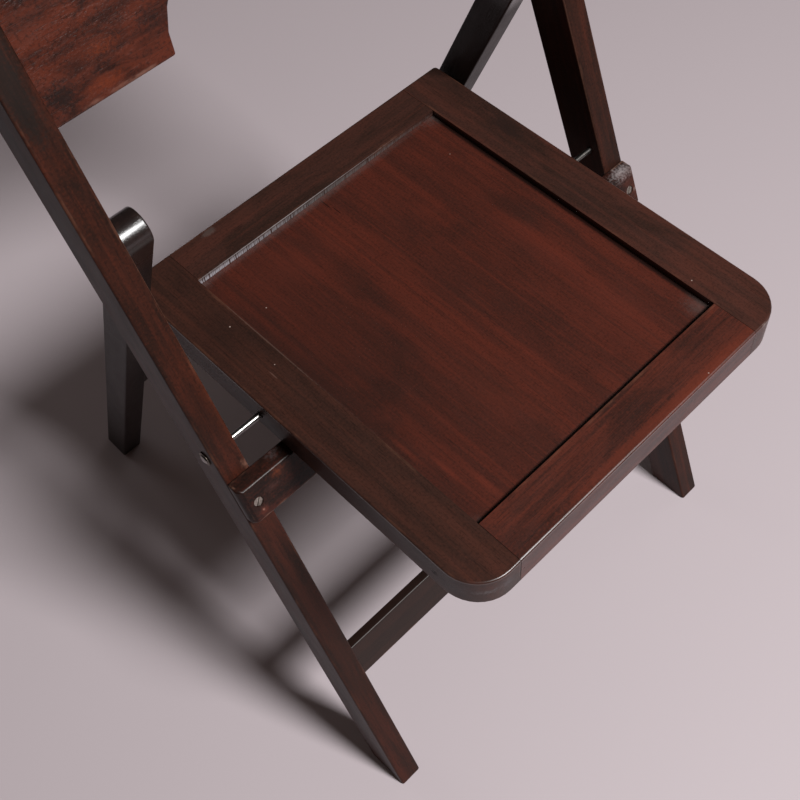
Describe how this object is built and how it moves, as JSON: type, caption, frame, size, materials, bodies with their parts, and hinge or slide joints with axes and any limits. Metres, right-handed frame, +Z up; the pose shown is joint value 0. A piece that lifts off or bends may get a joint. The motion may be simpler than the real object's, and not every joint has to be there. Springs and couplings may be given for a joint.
{
  "type": "wooden folding chair",
  "caption": "Wooden folding chair: framed panel seat on a steel rod between leaning stiles, crest board with a hand arch, rear legs that swing in as the seat tips up.",
  "frame": {"origin": "on the floor, under the centre of the open chair's box", "axes": "+Z up; -Y is the way the sitter faces; +X is at the sitter's left"},
  "size_m": [0.4532, 0.5376, 0.7961],
  "materials": {
    "frame_wood": "dark mahogany stain under satin varnish, worn at the arrises",
    "panel_wood": "redder dark mahogany veneer under gloss varnish",
    "crest_wood": "reddest dark mahogany, mottled grain, satin varnish",
    "bright_steel": "bright drawn steel",
    "dull_steel": "darkened steel"
  },
  "bodies": {
    "frame": {"stile_right": "frame_wood", "stile_left": "frame_wood", "front_stretcher": "frame_wood", "seat_batten": "frame_wood", "batten_screw_right": "dull_steel", "batten_screw_left": "dull_steel", "crest_panel": "crest_wood", "seat_rod": "bright_steel", "rod_washer_right": "dull_steel", "rod_washer_left": "dull_steel", "leg_pivot_screw_right": "dull_steel", "leg_pivot_screw_left": "dull_steel", "leg_pivot_washer_right": "dull_steel", "leg_pivot_washer_left": "dull_steel"},
    "seat": {"seat_side_rail_right": "frame_wood", "seat_side_rail_left": "frame_wood", "seat_front_rail": "frame_wood", "seat_rear_rail": "frame_wood", "seat_panel": "panel_wood", "guide_peg_right": "bright_steel", "guide_peg_left": "bright_steel"},
    "rear_legs": {"rear_leg_right": "frame_wood", "rear_leg_left": "frame_wood", "rear_stretcher": "frame_wood"}
  },
  "joints": [
    {"name": "seat_hinge", "type": "hinge", "parent": "frame", "child": "seat", "pos_m": [0, -0.04765, 0.3895], "axis": [-1, 0, 0], "range_deg": [0, 110]},
    {"name": "rear_leg_hinge", "type": "hinge", "parent": "frame", "child": "rear_legs", "pos_m": [0, 0.03832, 0.53197], "axis": [-1, 0, 0], "range_deg": [0, 46.31]}
  ],
  "couplings": [
    {"joint": "rear_leg_hinge", "follows": "seat_hinge", "ratio": 0.42091}
  ]
}
